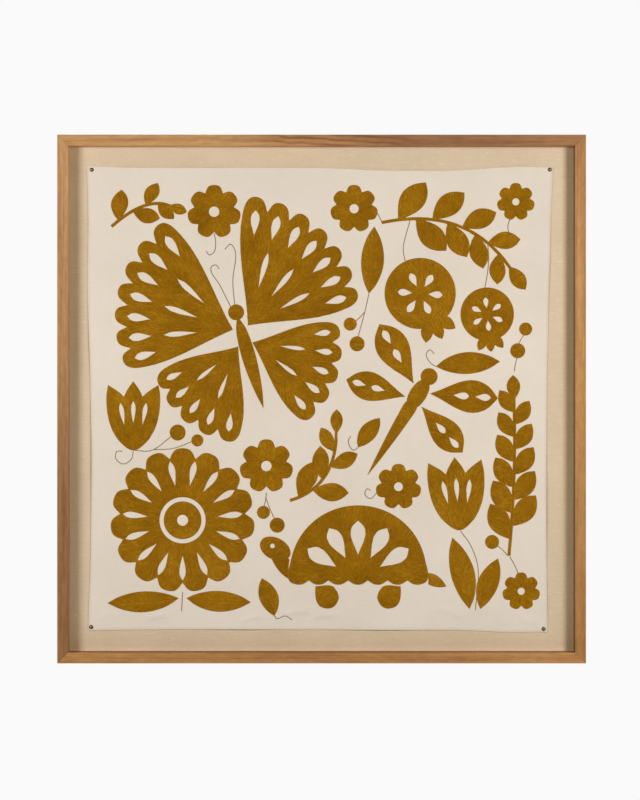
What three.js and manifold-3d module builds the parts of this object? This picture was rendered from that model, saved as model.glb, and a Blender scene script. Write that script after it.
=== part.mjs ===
// A square shadow-box frame of wood. On its linen-covered board a cream cotton cloth, embroidered in
// ochre thread, is held by a brass nail at each corner. Millimetres: the front faces -Y, +Z is up, and
// the origin is the centre of the flat back, which lies against the wall.

import * as THREE from "three";
import { mergeVertices } from "three/addons/utils/BufferGeometryUtils.js";
import Module from "manifold-3d";

const wasm = await Module();
wasm.setup();

// Driving dimensions.
const GAP = 0.3; // between pieces that touch
const FRAME_SIZE = 1067;
const FRAME_DEPTH = 40;
const RAIL_FACE = 22.2;
const RABBET_WIDTH = 8;
const EASED_EDGE = 1.2;
const EASED_STEPS = 3;
const BOARD_THICKNESS = 10;
const LINEN_THICKNESS = 1.2;
const CLOTH_THICKNESS = 1.2;
const CLOTH_HALF = 467; // nominal, from the centre to an edge
const THREAD_HEIGHT = 1; // how far the stitching stands proud of the cloth
const STEM_WIDTH = 6;
const VOID_LINE = 3; // bare line between two fields of stitches
const NAIL_HEAD_RADIUS = 4.1;
const NAIL_HEAD_HEIGHT = 2.6;
const NAIL_SHANK_RADIUS = 0.8;
const NAIL_HOLE_RADIUS = 1.1;
const NAIL_IN_BOARD = 5.5;
const NAIL_SIDES = 12;

// The layers, from the wall to the front.
const LINEN_BACK = -BOARD_THICKNESS - GAP;
const LINEN_FRONT = LINEN_BACK - LINEN_THICKNESS;
const CLOTH_BACK = LINEN_FRONT - GAP;
const CLOTH_FRONT = CLOTH_BACK - CLOTH_THICKNESS;
const THREAD_BACK = CLOTH_FRONT - GAP;
const RABBET_DEPTH = -LINEN_FRONT + GAP;
const BACKING_SIZE = FRAME_SIZE - 2 * (RAIL_FACE - RABBET_WIDTH + GAP);

// The cloth isn't cut square: the reach of each edge from the centre, along that edge.
const CLOTH_EDGES = {
  left: [
    { along: -467, reach: 473 },
    { along: -300, reach: 468 },
    { along: -110, reach: 465.5 },
    { along: 0, reach: 468.5 },
    { along: 250, reach: 474.5 },
    { along: 350, reach: 473 },
    { along: 467, reach: 475.5 },
  ],
  right: [
    { along: -467, reach: 458 },
    { along: -200, reach: 455.2 },
    { along: 0, reach: 456.5 },
    { along: 200, reach: 460 },
    { along: 350, reach: 464.5 },
    { along: 467, reach: 469 },
  ],
  bottom: [
    { along: -467, reach: 469 },
    { along: -280, reach: 467.2 },
    { along: 300, reach: 468.6 },
    { along: 400, reach: 473.4 },
    { along: 467, reach: 472.5 },
  ],
  top: [
    { along: -467, reach: 471.9 },
    { along: -355, reach: 468.6 },
    { along: 0, reach: 468.6 },
    { along: 150, reach: 462.6 },
    { along: 250, reach: 462.6 },
    { along: 400, reach: 471 },
    { along: 467, reach: 470 },
  ],
};

// Between the nails the free edges stand off the linen in low ripples.
const RIPPLES = [
  { edge: "left", along: -120, lift: 2.8, spread: 95 },
  { edge: "left", along: 110, lift: 1.8, spread: 50 },
  { edge: "right", along: -210, lift: 2.2, spread: 80 },
  { edge: "right", along: 240, lift: 1.4, spread: 60 },
  { edge: "bottom", along: -160, lift: 2.6, spread: 45 },
  { edge: "bottom", along: 130, lift: 2, spread: 60 },
  { edge: "top", along: 200, lift: 1.6, spread: 70 },
];
const RIPPLE_REACH = 20; // how far in from its edge a ripple dies away
const RIPPLE_LINES = [0, 6, 13]; // rows of points across a ripple, in from the edge
const CLOTH_CELLS = 18; // flat part of the cloth, along each side

const NAILS = [
  { name: "nail_top_left", x: -466.3, z: 465.1 },
  { name: "nail_top_right", x: 463, z: 465.4 },
  { name: "nail_bottom_left", x: -467.5, z: -462.5 },
  { name: "nail_bottom_right", x: 450.4, z: -466.3 },
];

// The embroidered garden. Places are [right, up] from the cloth's centre, turns are anticlockwise from up.
const BUTTERFLY = { at: [-158, 122], turn: 16 };
const WINGS = [
  { pair: "upper", root: [16, 24], turn: -55, radius: 246, spread: 82, lobes: 7, lead: 0.14 },
  { pair: "lower", root: [15, -12], turn: -128, radius: 186, spread: 74, lobes: 5, lead: -0.1 },
];
const DRAGONFLY = { at: [181, -14], turn: -32 };
const SLIM_WINGS = [
  { pair: "fore", root: [20, 42], turn: -62, length: 138, width: 66 },
  { pair: "hind", root: [20, 10], turn: -106, length: 124, width: 58 },
];
const SUNFLOWER = { at: [-282, -246], radius: 146, petals: 15, ring: 47, heart: 38 };
const TORTOISE = { at: [74, -368], width: 280, height: 152, hem: 9, scallops: 7 };
const TULIPS = [
  { name: "tulip_low", at: [280, -266], turn: 4, height: 148 },
  { name: "tulip_left", at: [-382, -104], turn: 0, height: 140 },
];
const POMEGRANATES = [
  { name: "pomegranate_large", at: [200, 214], turn: 206, radius: 72 },
  { name: "pomegranate_small", at: [336, 172], turn: 186, radius: 54 },
];
const SPRAYS = [
  {
    name: "bough",
    stem: [[122, 358], [296, 394], [384, 264]],
    leaves: 8,
    length: 98,
    width: 52,
    splay: 50,
  },
  {
    name: "spray_left",
    stem: [[-426, 350], [-356, 412], [-308, 392]],
    leaves: 4,
    length: 66,
    width: 36,
    splay: 50,
  },
  {
    name: "spray_middle",
    stem: [[-64, -206], [30, -178], [30, -66]],
    leaves: 5,
    length: 84,
    width: 42,
    splay: 46,
  },
  {
    name: "spray_right",
    stem: [[380, -318], [396, -150], [390, 4]],
    leaves: 11,
    length: 86,
    width: 46,
    splay: 38,
  },
];
const LEAVES = [
  { name: "leaf_tulip_near", at: [300, -426], turn: 8, length: 148, width: 48, bend: -14 },
  { name: "leaf_tulip_far", at: [322, -426], turn: -14, length: 108, width: 42, bend: 10 },
  { name: "leaf_sun_near", at: [-290, -404], turn: 98, length: 144, width: 42, bend: 10 },
  { name: "leaf_sun_far", at: [-274, -404], turn: -98, length: 130, width: 42, bend: -10 },
  { name: "leaf_middle", at: [96, 214], turn: -8, length: 136, width: 46, bend: -8 },
  { name: "leaf_right", at: [232, 66], turn: -82, length: 130, width: 44, bend: 8 },
  { name: "leaf_ground", at: [-96, -440], turn: 14, length: 80, width: 38, bend: -6 },
  { name: "leaf_tail", at: [74, -98], turn: -32, length: 74, width: 34, bend: 6 },
];
const FLORETS = [
  { name: "floret_top", at: [-218, 380], radius: 54 },
  { name: "floret_middle", at: [-112, -136], radius: 54 },
  { name: "floret_right", at: [405, -390], radius: 38 },
  { name: "floret_bough", at: [66, 386], radius: 48 },
  { name: "floret_tail", at: [156, -178], radius: 46 },
  { name: "floret_corner", at: [394, 400], radius: 38 },
];
const BERRIES = [
  { at: [-292, -68], radius: 16 },
  { at: [-252, -84], radius: 12 },
  { at: [72, 112], radius: 15 },
  { at: [58, 152], radius: 13 },
  { at: [-118, -230], radius: 13 },
  { at: [-90, -256], radius: 15 },
  { at: [398, 98], radius: 15 },
  { at: [414, 142], radius: 13 },
  { at: [346, -290], radius: 14 },
];

function reachAt(rows, along) {
  const next = rows.findIndex((row) => row.along >= along);
  if (next <= 0) {
    return rows[next === 0 ? 0 : rows.length - 1].reach;
  }
  const [a, b] = [rows[next - 1], rows[next]];
  return THREE.MathUtils.lerp(a.reach, b.reach, THREE.MathUtils.smoothstep(along, a.along, b.along));
}

function rippleAt(x, z) {
  const outward = { left: -x, right: x, bottom: -z, top: z };
  return RIPPLES.reduce((sum, { edge, along, lift, spread }) => {
    const place = edge === "left" || edge === "right" ? z : x;
    const fade = Math.max(0, 1 - (CLOTH_HALF - outward[edge]) / RIPPLE_REACH);
    return sum + lift * Math.exp(-(((place - along) / spread) ** 2)) * fade * fade * (3 - 2 * fade);
  }, 0);
}

// The cloth's point at a place of the nominal square, and how far it stands off the linen there.
function clothPoint(x, z) {
  const across = (x / CLOTH_HALF + 1) / 2;
  const up = (z / CLOTH_HALF + 1) / 2;
  return {
    x: THREE.MathUtils.lerp(-reachAt(CLOTH_EDGES.left, z), reachAt(CLOTH_EDGES.right, z), across),
    z: THREE.MathUtils.lerp(-reachAt(CLOTH_EDGES.bottom, x), reachAt(CLOTH_EDGES.top, x), up),
    lift: rippleAt(x, z),
  };
}

function clothLines() {
  const flat = CLOTH_HALF - RIPPLE_REACH;
  const rim = RIPPLE_LINES.map((inset) => CLOTH_HALF - inset);
  const inner = Array.from({ length: CLOTH_CELLS + 1 }, (_, i) => flat * ((2 * i) / CLOTH_CELLS - 1));
  return [...rim.map((place) => -place), ...inner, ...rim.reverse()];
}

function clothGeometry() {
  const lines = clothLines();
  const count = lines.length;
  const layer = count * count;
  const positions = [];
  for (const side of [CLOTH_FRONT, CLOTH_BACK]) {
    for (const z of lines) {
      for (const x of lines) {
        const point = clothPoint(x, z);
        positions.push(point.x, side - point.lift, point.z);
      }
    }
  }
  const faces = [];
  const quad = (a, b, c, d) => faces.push(a, b, c, a, c, d);
  for (let row = 0; row < count - 1; row += 1) {
    for (let column = 0; column < count - 1; column += 1) {
      const a = row * count + column;
      quad(a, a + 1, a + 1 + count, a + count);
      quad(layer + a, layer + a + count, layer + a + 1 + count, layer + a + 1);
    }
    const [left, right] = [row * count, row * count + count - 1];
    const [bottom, top] = [row, layer - count + row];
    quad(left, left + count, layer + left + count, layer + left);
    quad(right + count, right, layer + right, layer + right + count);
    quad(bottom + 1, bottom, layer + bottom, layer + bottom + 1);
    quad(top, top + 1, layer + top + 1, layer + top);
  }
  const geometry = new THREE.BufferGeometry();
  geometry.setAttribute("position", new THREE.Float32BufferAttribute(positions, 3));
  geometry.setIndex(faces);
  return geometry;
}

function solidOf(geometry) {
  const bare = geometry.clone();
  bare.deleteAttribute("normal");
  bare.deleteAttribute("uv");
  const merged = mergeVertices(bare);
  return new wasm.Manifold(
    new wasm.Mesh({
      numProp: 3,
      vertProperties: new Float32Array(merged.attributes.position.array),
      triVerts: new Uint32Array(merged.index.array),
    }),
  );
}

function geometryOf(solid) {
  const mesh = solid.getMesh();
  const geometry = new THREE.BufferGeometry();
  geometry.setAttribute("position", new THREE.Float32BufferAttribute(mesh.vertProperties, 3));
  geometry.setIndex(Array.from(mesh.triVerts));
  return geometry;
}

const joined = (solids) => solids.reduce((whole, next) => whole.add(next));
const cutFrom = (solid, cuts) => cuts.reduce((rest, cut) => rest.subtract(cut), solid);

// Outlines in the plane of the cloth. A leaf grows up from its root at the origin.
function leaf({ length, width, belly = 0.5, bend = 0, point = 0.8, steps = 7 }) {
  const skew = Math.log(0.5) / Math.log(belly);
  const right = [];
  const left = [];
  for (let i = 1; i < steps; i += 1) {
    const t = i / steps;
    const half = (width / 2) * Math.sin(Math.PI * t ** skew) ** point;
    right.push(new THREE.Vector2(bend * t * t + half, length * t));
    left.unshift(new THREE.Vector2(bend * t * t - half, length * t));
  }
  return [new THREE.Vector2(0, 0), ...right, new THREE.Vector2(bend, length), ...left];
}

const teardrop = (length, width) => leaf({ length, width, belly: 0.64, point: 0.7, steps: 5 });

function scallopedRim({ radius, spread, lobes, lead = 0, notch = 0.1, steps = 4 }) {
  const count = lobes * steps;
  return Array.from({ length: count + 1 }, (_, i) => {
    const s = i / count;
    const angle = THREE.MathUtils.degToRad(spread) * (s - 0.5);
    const lobe = Math.sqrt(Math.abs(Math.sin(Math.PI * lobes * s)));
    const r = radius * (1 + lead * (0.5 - s)) * (1 - notch * (1 - lobe));
    return new THREE.Vector2(r * Math.sin(angle), r * Math.cos(angle));
  });
}

const fan = (sizes) => [new THREE.Vector2(0, 0), ...scallopedRim(sizes)];

function oval({ length, width, sides = 14 }) {
  return Array.from({ length: sides }, (_, i) => {
    const angle = (2 * Math.PI * i) / sides;
    return new THREE.Vector2((width / 2) * Math.sin(angle), (length / 2) * Math.cos(angle));
  });
}

const disc = (radius, sides = 14) => oval({ length: 2 * radius, width: 2 * radius, sides });

function arch(width, height, steps = 14) {
  return Array.from({ length: steps + 1 }, (_, i) => {
    const angle = (Math.PI * i) / steps;
    return new THREE.Vector2((width / 2) * Math.cos(angle), height * Math.sin(angle) ** 0.9);
  });
}

function scallopedHem(width, drop, scallops, steps = 3) {
  const count = scallops * steps;
  return Array.from({ length: count - 1 }, (_, i) => {
    const s = (i + 1) / count;
    return new THREE.Vector2(width * (s - 0.5), -drop * Math.abs(Math.sin(Math.PI * scallops * s)));
  });
}

function band(curve, width, steps = 10) {
  const sides = [1, -1].map((side) =>
    Array.from({ length: steps + 1 }, (_, i) => {
      const tangent = curve.getTangent(i / steps);
      const across = new THREE.Vector2(-tangent.y, tangent.x).multiplyScalar((side * width) / 2);
      return curve.getPoint(i / steps).add(across);
    }),
  );
  return [...sides[0], ...sides[1].reverse()];
}

function place(outline, { at = [0, 0], turn = 0, mirror = 1 }) {
  const origin = new THREE.Vector2();
  const shift = new THREE.Vector2(...at);
  return outline.map(({ x, y }) =>
    new THREE.Vector2(mirror * x, y).rotateAround(origin, THREE.MathUtils.degToRad(turn)).add(shift),
  );
}

// A point at a distance from the origin, at a turn from up.
function polar(distance, turn) {
  const angle = THREE.MathUtils.degToRad(turn);
  return [-distance * Math.sin(angle), distance * Math.cos(angle)];
}

function slab(outline, from, to) {
  const shape = new THREE.Shape(outline);
  const geometry = new THREE.ExtrudeGeometry(shape, { depth: to - from, bevelEnabled: false, steps: 1 });
  return solidOf(geometry.translate(0, 0, from));
}

function plate(outlines, cuts) {
  const field = joined(outlines.map((outline) => slab(outline, 0, THREAD_HEIGHT)));
  const through = cuts.map((outline) => slab(outline, -THREAD_HEIGHT, 2 * THREAD_HEIGHT));
  return geometryOf(cutFrom(field, through));
}

const wood = (colour) => new THREE.MeshStandardMaterial({ color: colour, roughness: 0.6, metalness: 0 });
const fabric = (colour) => new THREE.MeshStandardMaterial({ color: colour, roughness: 0.9, metalness: 0 });

const part = new THREE.Group();

function addMesh(parent, name, geometry, material) {
  const mesh = new THREE.Mesh(geometry, material);
  mesh.name = name;
  parent.add(mesh);
  return mesh;
}

// Section of a rail: x in from the frame's outer edge, y from the wall to the front.
function railSection() {
  const section = new THREE.Path();
  section.moveTo(0, 0);
  section.lineTo(0, -FRAME_DEPTH + EASED_EDGE);
  section.absarc(EASED_EDGE, -FRAME_DEPTH + EASED_EDGE, EASED_EDGE, Math.PI, 1.5 * Math.PI);
  section.absarc(RAIL_FACE - EASED_EDGE, -FRAME_DEPTH + EASED_EDGE, EASED_EDGE, 1.5 * Math.PI, 2 * Math.PI);
  section.lineTo(RAIL_FACE, -RABBET_DEPTH);
  section.lineTo(RAIL_FACE - RABBET_WIDTH, -RABBET_DEPTH);
  section.lineTo(RAIL_FACE - RABBET_WIDTH, 0);
  return new THREE.Shape(section.getPoints(EASED_STEPS));
}

// The bottom rail, with both ends mitred; the others are the same rail turned.
function railGeometry() {
  const settings = { depth: 1, bevelEnabled: false, steps: 1 };
  const geometry = new THREE.ExtrudeGeometry(railSection(), settings);
  const position = geometry.attributes.position;
  const outer = FRAME_SIZE / 2;
  for (let i = 0; i < position.count; i += 1) {
    const inset = position.getX(i);
    const end = position.getZ(i) > 0.5 ? -1 : 1;
    position.setXYZ(i, end * (outer - inset - GAP / Math.SQRT2), position.getY(i), inset - outer);
  }
  return geometry;
}

function addFrame() {
  const sides = ["bottom", "left", "top", "right"];
  sides.forEach((side, i) => {
    const rail = addMesh(part, `frame_${side}`, railGeometry(), wood(0xb2844f));
    rail.rotation.y = (i * Math.PI) / 2;
  });
}

function nailHoles(depth) {
  return NAILS.map(({ x, z }) => {
    const hole = new THREE.CylinderGeometry(NAIL_HOLE_RADIUS, NAIL_HOLE_RADIUS, FRAME_DEPTH, 8);
    return solidOf(hole.translate(x, depth - FRAME_DEPTH / 2, z));
  });
}

function addBacking() {
  const board = new THREE.BoxGeometry(BACKING_SIZE, BOARD_THICKNESS, BACKING_SIZE);
  board.translate(0, -BOARD_THICKNESS / 2, 0);
  const blind = nailHoles(-BOARD_THICKNESS + NAIL_IN_BOARD + GAP);
  addMesh(part, "backing_board", geometryOf(cutFrom(solidOf(board), blind)), wood(0xc9ae86));
  const linen = new THREE.BoxGeometry(BACKING_SIZE, LINEN_THICKNESS, BACKING_SIZE);
  linen.translate(0, (LINEN_BACK + LINEN_FRONT) / 2, 0);
  addMesh(part, "linen", geometryOf(cutFrom(solidOf(linen), nailHoles(0))), fabric(0xd6bfa2));
  addMesh(part, "textile", geometryOf(cutFrom(solidOf(clothGeometry()), nailHoles(0))), fabric(0xe3d5c5));
}

function nailGeometry() {
  const underside = CLOTH_FRONT - GAP;
  const tip = -BOARD_THICKNESS + NAIL_IN_BOARD;
  const domeSteps = 4;
  const profile = Array.from({ length: domeSteps + 1 }, (_, i) => {
    const angle = (Math.PI / 2) * (i / domeSteps);
    const rise = NAIL_HEAD_HEIGHT * Math.cos(angle);
    return new THREE.Vector2(NAIL_HEAD_RADIUS * Math.sin(angle), underside - rise);
  });
  profile.push(new THREE.Vector2(NAIL_SHANK_RADIUS, underside));
  profile.push(new THREE.Vector2(NAIL_SHANK_RADIUS, tip - 2 * NAIL_SHANK_RADIUS));
  profile.push(new THREE.Vector2(0, tip));
  return new THREE.LatheGeometry(profile, NAIL_SIDES);
}

function addNails() {
  for (const { name, x, z } of NAILS) {
    const brass = new THREE.MeshStandardMaterial({ color: 0x8a6a3a, roughness: 0.35, metalness: 1 });
    addMesh(part, name, nailGeometry(), brass).position.set(x, 0, z);
  }
}

// The stitched fields lie on the cloth: x stays right, y becomes up, and their height points to the front.
const embroidery = new THREE.Group();
embroidery.rotation.x = Math.PI / 2;
embroidery.position.y = THREAD_BACK;
part.add(embroidery);

function stitch(name, outlines, cuts = []) {
  addMesh(embroidery, name, plate(outlines, cuts), fabric(0x92640f));
}

// A teardrop in every lobe of a wing, and a longer slit nearer the root in every second one.
function wingCuts({ radius, spread, lobes, lead }) {
  const cuts = [];
  for (let i = 0; i < lobes; i += 1) {
    const s = (i + 0.5) / lobes;
    const turn = -spread * (s - 0.5);
    const reach = radius * (1 + lead * (0.5 - s));
    cuts.push(place(teardrop(0.2 * reach, 0.07 * reach), { at: polar(0.7 * reach, turn), turn }));
    if (i % 2) {
      cuts.push(place(teardrop(0.3 * reach, 0.045 * reach), { at: polar(0.3 * reach, turn), turn }));
    }
  }
  return cuts;
}

function stitchButterfly() {
  for (const [side, mirror] of [["right", 1], ["left", -1]]) {
    for (const wing of WINGS) {
      const { pair, root, turn } = wing;
      const seat = { at: [mirror * root[0], root[1]], turn: mirror * turn, mirror };
      const onWing = (outline) => place(place(outline, seat), BUTTERFLY);
      stitch(`butterfly_${pair}_${side}`, [onWing(fan(wing))], wingCuts(wing).map(onWing));
    }
  }
  const abdomen = place(leaf({ length: 196, width: 28, belly: 0.42 }), { at: [0, 50], turn: 180 });
  const head = place(disc(16), { at: [0, 56] });
  stitch("butterfly_body", [abdomen, head].map((outline) => place(outline, BUTTERFLY)));
}

function stitchDragonfly() {
  for (const [side, mirror] of [["right", 1], ["left", -1]]) {
    for (const { pair, root, turn, length, width } of SLIM_WINGS) {
      const seat = { at: [mirror * root[0], root[1]], turn: mirror * turn, mirror };
      const onWing = (outline) => place(place(outline, seat), DRAGONFLY);
      const slits = [0.34, 0.66].map((part) =>
        place(teardrop(0.24 * length, 0.22 * width), { at: [0, part * length] }),
      );
      const wing = onWing(leaf({ length, width, belly: 0.62 }));
      stitch(`dragonfly_${pair}_${side}`, [wing], slits.map(onWing));
    }
  }
  const tail = place(leaf({ length: 196, width: 26, belly: 0.2 }), { at: [0, 30], turn: 180 });
  const thorax = place(oval({ length: 70, width: 34 }), { at: [0, 28] });
  const head = place(disc(17), { at: [0, 70] });
  stitch("dragonfly_body", [tail, thorax, head].map((outline) => place(outline, DRAGONFLY)));
}

function stitchSunflower() {
  const { at, radius, petals, ring, heart } = SUNFLOWER;
  const rim = scallopedRim({ radius, spread: 360, lobes: petals, notch: 0.13 }).slice(1);
  const cuts = Array.from({ length: petals }, (_, i) => {
    const turn = (360 * (i + 0.5)) / petals;
    return place(teardrop(0.36 * radius, 0.09 * radius), { at: polar(0.48 * radius, turn), turn });
  });
  const onCloth = (outline) => place(outline, { at });
  stitch("sunflower", [onCloth(rim)], [...cuts, disc(ring, 24)].map(onCloth));
  stitch("sunflower_heart", [onCloth(disc(heart, 20))], [onCloth(disc(0.3 * heart))]);
}

function stitchTortoise() {
  const { at, width, height, hem, scallops } = TORTOISE;
  const onCloth = (outline) => place(outline, { at });
  const plates = [-58, -29, 0, 29, 58].map((turn) =>
    place(teardrop(0.46 * height, 0.2 * height), { at: polar(0.34 * height, turn), turn }),
  );
  const shell = [...arch(width, height), ...scallopedHem(width, hem, scallops)];
  stitch("tortoise_shell", [onCloth(shell)], plates.map(onCloth));
  const corner = new THREE.Vector2(width / 2 + VOID_LINE, -hem - VOID_LINE);
  const clear = [...arch(2 * corner.x, height + VOID_LINE), new THREE.Vector2(-corner.x, corner.y), corner];
  const limb = (name, outlines, cuts = []) =>
    stitch(`tortoise_${name}`, outlines.map(onCloth), [clear, ...cuts].map(onCloth));

  const neck = new THREE.QuadraticBezierCurve(
    new THREE.Vector2(-0.4 * width, 10),
    new THREE.Vector2(-0.52 * width, 12),
    new THREE.Vector2(-0.58 * width, 52),
  );
  const head = place(oval({ length: 66, width: 44 }), { at: [-0.6 * width, 64], turn: 62 });
  limb("head", [band(neck, 30), head], [place(disc(5, 8), { at: [-0.62 * width, 70] })]);
  for (const [name, side] of [["front", -1], ["back", 1]]) {
    const leg = leaf({ length: 76, width: 46, belly: 0.7, point: 0.5 });
    limb(`leg_${name}`, [place(leg, { at: [0.3 * side * width, 14], turn: 180 - 24 * side })]);
  }
  limb("tail", [place(leaf({ length: 58, width: 24, bend: 12 }), { at: [0.44 * width, 8], turn: -98 })]);
}

function stitchTulip({ name, at, turn, height }) {
  const petals = [-1, 0, 1].map((side) => {
    const petal = leaf({ length: height, width: 0.44 * height, belly: 0.42, bend: -0.16 * side * height });
    return place(petal, { turn: 12 * side });
  });
  const slits = [-1, 0, 1].map((side) =>
    place(teardrop(0.34 * height, 0.07 * height), { at: polar(0.38 * height, 20 * side), turn: 10 * side }),
  );
  const onCloth = (outline) => place(outline, { at, turn });
  stitch(name, petals.map(onCloth), slits.map(onCloth));
}

function stitchPomegranate({ name, at, turn, radius }) {
  const sepal = leaf({ length: 0.62 * radius, width: 0.34 * radius });
  const crown = [-32, 0, 32].map((lean) =>
    place(sepal, { at: polar(0.8 * radius, 0.3 * lean), turn: lean }),
  );
  const seeds = [0, 60, 120, 180, 240, 300].map((around) =>
    place(teardrop(0.42 * radius, 0.2 * radius), { at: polar(0.22 * radius, around), turn: around }),
  );
  const onCloth = (outline) => place(outline, { at, turn });
  stitch(name, [disc(radius, 24), ...crown].map(onCloth), seeds.map(onCloth));
}

// Leaves in turn on both sides of a curved stem, smaller towards its tip, and one at the tip.
function stitchSpray({ name, stem, leaves, length, width, splay }) {
  const curve = new THREE.QuadraticBezierCurve(...stem.map((point) => new THREE.Vector2(...point)));
  const outlines = [band(curve, STEM_WIDTH)];
  for (let i = 0; i <= leaves; i += 1) {
    const t = 0.1 + (0.88 * i) / leaves;
    const tangent = curve.getTangent(t);
    const ahead = THREE.MathUtils.radToDeg(Math.atan2(-tangent.x, tangent.y));
    const side = i === leaves ? 0 : i % 2 ? -1 : 1;
    const size = 1 - 0.42 * t;
    const { x, y } = curve.getPoint(t);
    const shape = leaf({ length: size * length, width: size * width, belly: 0.55, bend: 5 * side });
    outlines.push(place(shape, { at: [x, y], turn: ahead + splay * side }));
  }
  stitch(name, outlines);
}

function stitchFloret({ name, at, radius }) {
  const rim = scallopedRim({ radius, spread: 360, lobes: 7, notch: 0.24 }).slice(1);
  stitch(name, [place(rim, { at })], [place(disc(0.2 * radius, 10), { at })]);
}

addFrame();
addBacking();
addNails();
stitchButterfly();
stitchDragonfly();
stitchSunflower();
stitchTortoise();
TULIPS.forEach(stitchTulip);
POMEGRANATES.forEach(stitchPomegranate);
SPRAYS.forEach(stitchSpray);
FLORETS.forEach(stitchFloret);
LEAVES.forEach((sizes) => stitch(sizes.name, [place(leaf(sizes), sizes)]));
BERRIES.forEach(({ at, radius }, i) => stitch(`berry_${i + 1}`, [place(disc(radius, 12), { at })]));

export default part;
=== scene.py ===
import bpy
import bmesh
import math
import numpy as np
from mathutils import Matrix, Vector


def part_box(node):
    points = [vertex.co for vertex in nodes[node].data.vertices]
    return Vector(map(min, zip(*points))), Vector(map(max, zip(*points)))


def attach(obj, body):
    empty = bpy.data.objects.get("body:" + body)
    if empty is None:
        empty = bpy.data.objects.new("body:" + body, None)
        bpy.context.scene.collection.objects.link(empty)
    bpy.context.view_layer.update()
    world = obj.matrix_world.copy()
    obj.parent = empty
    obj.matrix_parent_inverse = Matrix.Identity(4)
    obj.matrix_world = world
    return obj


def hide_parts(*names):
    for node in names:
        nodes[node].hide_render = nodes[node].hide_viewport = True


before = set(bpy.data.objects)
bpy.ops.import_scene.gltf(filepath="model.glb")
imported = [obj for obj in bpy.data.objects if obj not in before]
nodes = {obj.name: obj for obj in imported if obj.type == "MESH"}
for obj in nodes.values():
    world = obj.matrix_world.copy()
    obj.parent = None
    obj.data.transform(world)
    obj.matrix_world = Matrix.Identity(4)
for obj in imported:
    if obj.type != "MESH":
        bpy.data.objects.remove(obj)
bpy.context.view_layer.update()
rng = np.random.default_rng(11)
mm = 0.001
tiny = 1e-12  # keeps a division from failing
white = (1, 1, 1, 1)
black = (0, 0, 0, 1)
bpy.ops.object.select_all(action="DESELECT")


# small helpers for colour and shader nodes
def paint(red, green, blue):  # from screen values to the shader's own
    tone = [c / 255 for c in (red, green, blue)]
    return tuple(c / 12.92 if c < 0.04045 else ((c + 0.055) / 1.055) ** 2.4 for c in tone) + (1,)


def newNode(tree, kind, values=None, **settings):
    node = tree.nodes.new("ShaderNode" + kind)
    for key, value in settings.items():
        setattr(node, key, value)
    for key, value in (values or {}).items():
        node.inputs[key].default_value = value
    return node


def newMaterial(name, values):
    mat = bpy.data.materials.new(name)
    mat.use_nodes = True
    shader = mat.node_tree.nodes["Principled BSDF"]
    for key, value in values.items():
        shader.inputs[key].default_value = value
    return mat, mat.node_tree, shader


def newRamp(tree, source, stops):
    ramp = newNode(tree, "ValToRGB")
    band = ramp.color_ramp
    while len(band.elements) < len(stops):
        band.elements.new(0.5)
    for spot, (place, color) in zip(band.elements, stops):
        spot.position = place
        spot.color = color
    tree.links.new(source, ramp.inputs["Fac"])
    return ramp.outputs["Color"]


def newBlend(tree, kind, amount, under, over):
    mix = newNode(tree, "Mix", data_type="RGBA", blend_type=kind)
    for socket, value in (("Factor_Float", amount), ("A_Color", under), ("B_Color", over)):
        slot = next(i for i in mix.inputs if i.identifier == socket)
        if hasattr(value, "is_output"):
            tree.links.new(value, slot)
        else:
            slot.default_value = value
    return next(o for o in mix.outputs if o.identifier == "Result_Color")


def shadeBy(tree, color, amount, source, stops):  # multiplies a colour by a ramp
    return newBlend(tree, "MULTIPLY", amount, color, newRamp(tree, source, stops))


def newNoise(tree, where, stretch, detail, turn=(0, 0, 0), twist=0):
    grid = newNode(tree, "Mapping", {"Scale": stretch, "Rotation": turn})
    noise = newNode(tree, "TexNoise", {"Scale": 1, "Detail": detail, "Distortion": twist})
    tree.links.new(where, grid.inputs["Vector"])
    tree.links.new(grid.outputs["Vector"], noise.inputs["Vector"])
    return noise.outputs["Fac"]


bandSpan = 0.314159  # a wave texture of scale 1 repeats at this length


def newBands(tree, where, axis, pitch, wobble):
    wave = newNode(
        tree, "TexWave",
        {"Scale": bandSpan / pitch, "Distortion": wobble, "Detail": 1, "Detail Scale": 0.6},
        wave_type="BANDS", bands_direction=axis,
    )
    tree.links.new(where, wave.inputs["Vector"])
    return wave.outputs["Fac"]


def newMath(tree, operation, *sources):
    node = newNode(tree, "Math", operation=operation)
    for slot, source in zip(node.inputs, sources):
        tree.links.new(source, slot)
    return node.outputs[0]


def newRange(tree, source, low, high, toLow=0, toHigh=1):
    spread = newNode(tree, "MapRange", {"From Min": low, "From Max": high, "To Min": toLow, "To Max": toHigh})
    tree.links.new(source, spread.inputs["Value"])
    return spread.outputs["Result"]


def splitAxes(tree, source):
    split = newNode(tree, "SeparateXYZ")
    tree.links.new(source, split.inputs[0])
    return split.outputs


def objectSpot(tree):
    return newNode(tree, "TexCoord").outputs["Object"]


def ownMap(tree):  # the piece's own UV map, as X and Y
    return splitAxes(tree, newNode(tree, "UVMap", uv_map="UVMap").outputs["UV"])


def addBump(tree, shader, height, strength, depth):
    bump = newNode(tree, "Bump", {"Strength": strength, "Distance": depth})
    tree.links.new(height, bump.inputs["Height"])
    tree.links.new(bump.outputs["Normal"], shader.inputs["Normal"])


def addWeave(tree, shader, spot, plan):  # threads across and upright, as bump
    pitch, wobble, strength, depth = (plan[k] for k in ("pitch", "wobble", "strength", "depth"))
    bands = [newBands(tree, spot, axis, pitch, wobble) for axis in ("X", "Z")]
    addBump(tree, shader, newMath(tree, "MAXIMUM", *bands), strength, depth)


# camera, lights and floor
print("stage")
scene = bpy.context.scene
scene.view_settings.view_transform = "Standard"

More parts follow.
